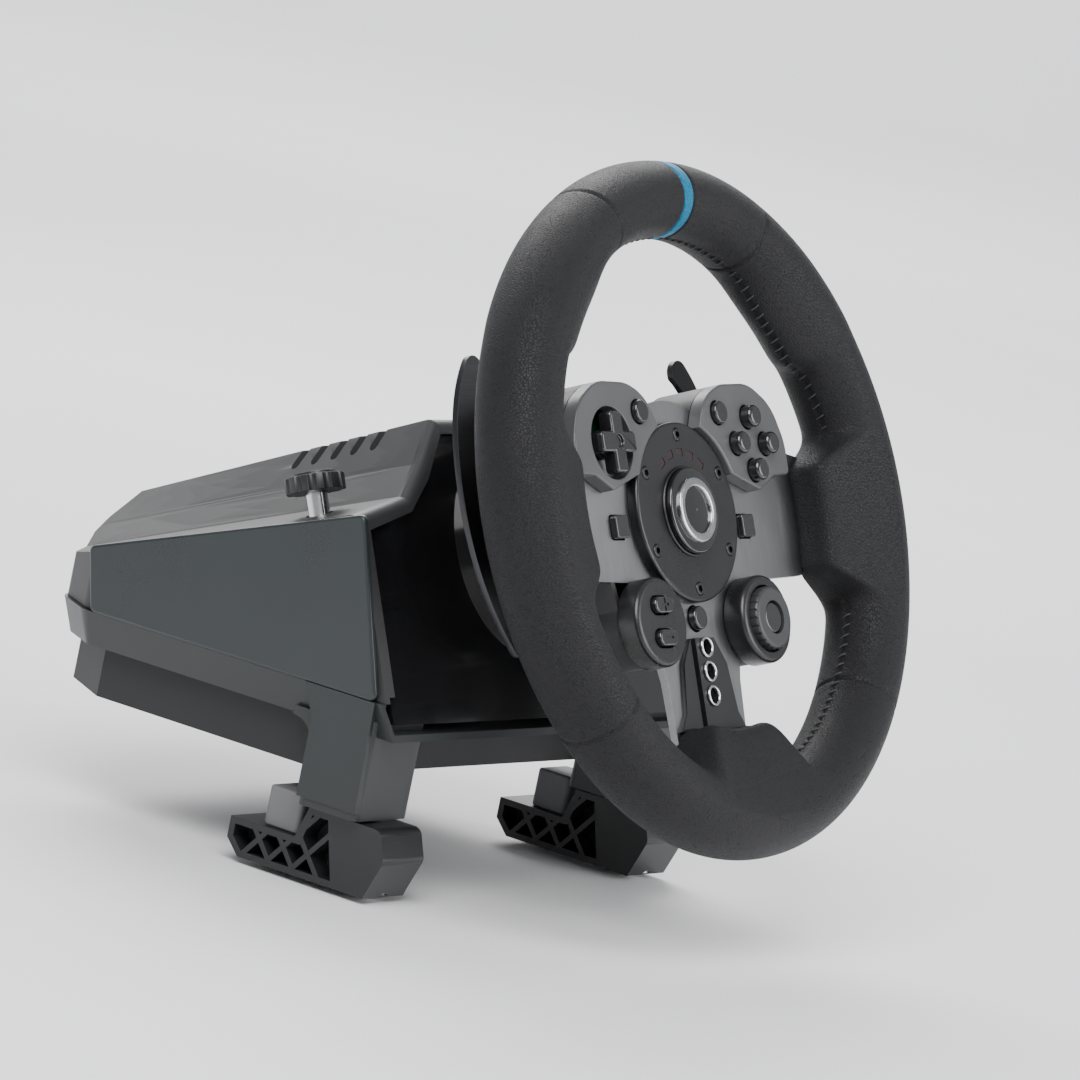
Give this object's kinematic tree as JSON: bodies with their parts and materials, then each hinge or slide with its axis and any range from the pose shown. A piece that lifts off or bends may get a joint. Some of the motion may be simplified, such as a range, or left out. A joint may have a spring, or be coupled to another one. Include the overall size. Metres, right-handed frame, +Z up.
{
  "type": "racing wheel",
  "caption": "Desktop force-feedback steering wheel with a leather rim, thumb controls and shift paddles, on a motor base with table clamps.",
  "frame": {"origin": "on the flat underside of the base, in its middle plane, at the line where the rear faces of the two clamp legs meet the table's edge", "axes": "+Z up out of the table, -Y towards the driver, +X to the driver's right; the steering axis leans 24 degrees up from -Y"},
  "size_m": [0.259, 0.283, 0.277],
  "materials": {
    "grip": "fine grained black leather, matte",
    "core": "mill",
    "marker": "blue dyed leather",
    "brushed": "brushed",
    "plate": "silver grey satin",
    "hub_gloss": "satin black",
    "badge": "polished",
    "screws": "blackened",
    "lights": "clear smoked",
    "wheel_plastic": "fine texture",
    "pod": "satin",
    "button": "gloss black",
    "dial": "satin",
    "inner_plastic": "matte",
    "board": "solder mask",
    "paddle": "blackened brushed",
    "steel": "ground",
    "gear": "moulded nylon",
    "shell": "fine texture",
    "lower": "fine texture",
    "tray": "matte",
    "fascia": "gloss",
    "side_panel": "satin",
    "feet": "matte",
    "brass": "turned",
    "gearbox": "cast",
    "motor": "plated",
    "clamp": "ribbed moulding",
    "rod": "polished",
    "pad": "light grey"
  },
  "bodies": {
    "base": {"base_tray": "tray", "lower_shell": "lower", "upper_shell": "shell", "front_fascia": "fascia", "side_panel_left": "side_panel", "side_panel_right": "side_panel", "gearbox_housing": "gearbox", "motor_left": "motor", "motor_right": "motor", "bearing_outer_races": "steel", "main_board": "board", "accessory_sockets": "inner_plastic", "cable_gland": "feet", "rubber_feet": "feet", "housing_screws": "screws", "mounting_inserts": "brass"},
    "wheel": {"rim_core": "core", "spoke_frame": "brushed", "rim_marker": "marker", "rim_grip": "grip", "button_plate_left": "plate", "button_plate_right": "plate", "hub_front_cover": "hub_gloss", "indicator_lights": "lights", "hub_badge": "badge", "hub_screws": "screws", "hub_rear_cover": "wheel_plastic", "paddle_pins": "steel", "wheel_board": "board", "thumb_pods": "pod", "steering_shaft": "steel", "main_gear": "gear", "bearing_inner_races": "steel"},
    "motor_pinion_left": {"motor_pinion_left": "steel"},
    "paddle_left": {"paddle_left": "paddle"},
    "motor_pinion_right": {"motor_pinion_right": "steel"},
    "paddle_right": {"paddle_right": "paddle"},
    "action_button_top": {"action_button_top": "button"},
    "action_button_right": {"action_button_right": "button"},
    "action_button_bottom": {"action_button_bottom": "button"},
    "action_button_left": {"action_button_left": "button"},
    "shoulder_button_left": {"shoulder_button_left": "button"},
    "menu_button_left": {"menu_button_left": "button"},
    "shoulder_button_right": {"shoulder_button_right": "button"},
    "menu_button_right": {"menu_button_right": "button"},
    "home_button": {"home_button": "button"},
    "plus_button": {"plus_button": "button"},
    "minus_button": {"minus_button": "button"},
    "dpad_pivot": {"dpad_pivot": "inner_plastic"},
    "dpad": {"dpad": "button"},
    "selection_dial": {"selection_dial": "dial"},
    "enter_button": {"enter_button": "button"},
    "clamp_screw_left": {"clamp_knob_left": "clamp", "clamp_screw_left": "rod"},
    "clamp_arm_left": {"clamp_arm_left": "clamp", "clamp_pad_left": "pad"},
    "clamp_screw_right": {"clamp_knob_right": "clamp", "clamp_screw_right": "rod"},
    "clamp_arm_right": {"clamp_arm_right": "clamp", "clamp_pad_right": "pad"}
  },
  "joints": [
    {"name": "steering", "type": "hinge", "parent": "base", "child": "wheel", "pos_m": [0, -0.03132, 0.09566], "axis": [0, -0.9135, 0.4067], "range_deg": [-450, 450]},
    {"name": "motor_left_spin", "type": "hinge", "parent": "base", "child": "motor_pinion_left", "pos_m": [-0.048, 0.05729, 0.05621], "axis": [0, -0.9135, 0.4067], "range_deg": [-3200, 3200]},
    {"name": "paddle_left_pull", "type": "hinge", "parent": "wheel", "child": "paddle_left", "pos_m": [-0.033, -0.03699, 0.09818], "axis": [0, 0.4067, 0.9135], "range_deg": [0, 5], "stiffness_Nm_per_rad": 0.6},
    {"name": "motor_right_spin", "type": "hinge", "parent": "base", "child": "motor_pinion_right", "pos_m": [0.048, 0.05729, 0.05621], "axis": [0, -0.9135, 0.4067], "range_deg": [-3200, 3200]},
    {"name": "paddle_right_pull", "type": "hinge", "parent": "wheel", "child": "paddle_right", "pos_m": [0.033, -0.03699, 0.09818], "axis": [0, -0.4067, -0.9135], "range_deg": [0, 5], "stiffness_Nm_per_rad": 0.6},
    {"name": "action_top_press", "type": "slide", "parent": "wheel", "child": "action_button_top", "axis": [0, 0.9135, -0.4067], "range_m": [0, 0.0015], "stiffness_N_per_m": 300},
    {"name": "action_right_press", "type": "slide", "parent": "wheel", "child": "action_button_right", "axis": [0, 0.9135, -0.4067], "range_m": [0, 0.0015], "stiffness_N_per_m": 300},
    {"name": "action_bottom_press", "type": "slide", "parent": "wheel", "child": "action_button_bottom", "axis": [0, 0.9135, -0.4067], "range_m": [0, 0.0015], "stiffness_N_per_m": 300},
    {"name": "action_left_press", "type": "slide", "parent": "wheel", "child": "action_button_left", "axis": [0, 0.9135, -0.4067], "range_m": [0, 0.0015], "stiffness_N_per_m": 300},
    {"name": "shoulder_left_press", "type": "slide", "parent": "wheel", "child": "shoulder_button_left", "axis": [0, 0.9135, -0.4067], "range_m": [0, 0.0015], "stiffness_N_per_m": 300},
    {"name": "menu_left_press", "type": "slide", "parent": "wheel", "child": "menu_button_left", "axis": [0, 0.9135, -0.4067], "range_m": [0, 0.0015], "stiffness_N_per_m": 300},
    {"name": "shoulder_right_press", "type": "slide", "parent": "wheel", "child": "shoulder_button_right", "axis": [0, 0.9135, -0.4067], "range_m": [0, 0.0015], "stiffness_N_per_m": 300},
    {"name": "menu_right_press", "type": "slide", "parent": "wheel", "child": "menu_button_right", "axis": [0, 0.9135, -0.4067], "range_m": [0, 0.0015], "stiffness_N_per_m": 300},
    {"name": "home_press", "type": "slide", "parent": "wheel", "child": "home_button", "axis": [0, 0.9135, -0.4067], "range_m": [0, 0.0015], "stiffness_N_per_m": 300},
    {"name": "plus_press", "type": "slide", "parent": "wheel", "child": "plus_button", "axis": [0, 0.9135, -0.4067], "range_m": [0, 0.0015], "stiffness_N_per_m": 300},
    {"name": "minus_press", "type": "slide", "parent": "wheel", "child": "minus_button", "axis": [0, 0.9135, -0.4067], "range_m": [0, 0.0015], "stiffness_N_per_m": 300},
    {"name": "dpad_left_right", "type": "hinge", "parent": "wheel", "child": "dpad_pivot", "pos_m": [-0.047, -0.06135, 0.1364], "axis": [0, 0.4067, 0.9135], "range_deg": [-5, 5], "stiffness_Nm_per_rad": 0.05},
    {"name": "dpad_up_down", "type": "hinge", "parent": "dpad_pivot", "child": "dpad", "pos_m": [-0.047, -0.06135, 0.1364], "axis": [1, 0, 0], "range_deg": [-5, 5], "stiffness_Nm_per_rad": 0.05},
    {"name": "selection_dial_turn", "type": "hinge", "parent": "wheel", "child": "selection_dial", "pos_m": [0.036, -0.09368, 0.07855], "axis": [0, -0.9135, 0.4067], "continuous": true},
    {"name": "enter_press", "type": "slide", "parent": "selection_dial", "child": "enter_button", "axis": [0, 0.9135, -0.4067], "range_m": [0, 0.0012], "stiffness_N_per_m": 300},
    {"name": "clamp_left_turn", "type": "hinge", "parent": "base", "child": "clamp_screw_left", "pos_m": [-0.088, -0.0125, 0], "axis": [0, 0.4067, 0.9135], "range_deg": [0, 2522]},
    {"name": "clamp_left_open", "type": "slide", "parent": "base", "child": "clamp_arm_left", "axis": [0, -0.4067, -0.9135], "range_m": [0, 0.021]},
    {"name": "clamp_right_turn", "type": "hinge", "parent": "base", "child": "clamp_screw_right", "pos_m": [0.088, -0.0125, 0], "axis": [0, 0.4067, 0.9135], "range_deg": [0, 2522]},
    {"name": "clamp_right_open", "type": "slide", "parent": "base", "child": "clamp_arm_right", "axis": [0, -0.4067, -0.9135], "range_m": [0, 0.021]}
  ],
  "couplings": [
    {"joint": "motor_left_spin", "follows": "steering", "ratio": -7},
    {"joint": "motor_right_spin", "follows": "steering", "ratio": -7},
    {"joint": "clamp_left_turn", "follows": "clamp_left_open", "rad_per_m": 2094.4},
    {"joint": "clamp_right_turn", "follows": "clamp_right_open", "rad_per_m": 2094.4}
  ]
}
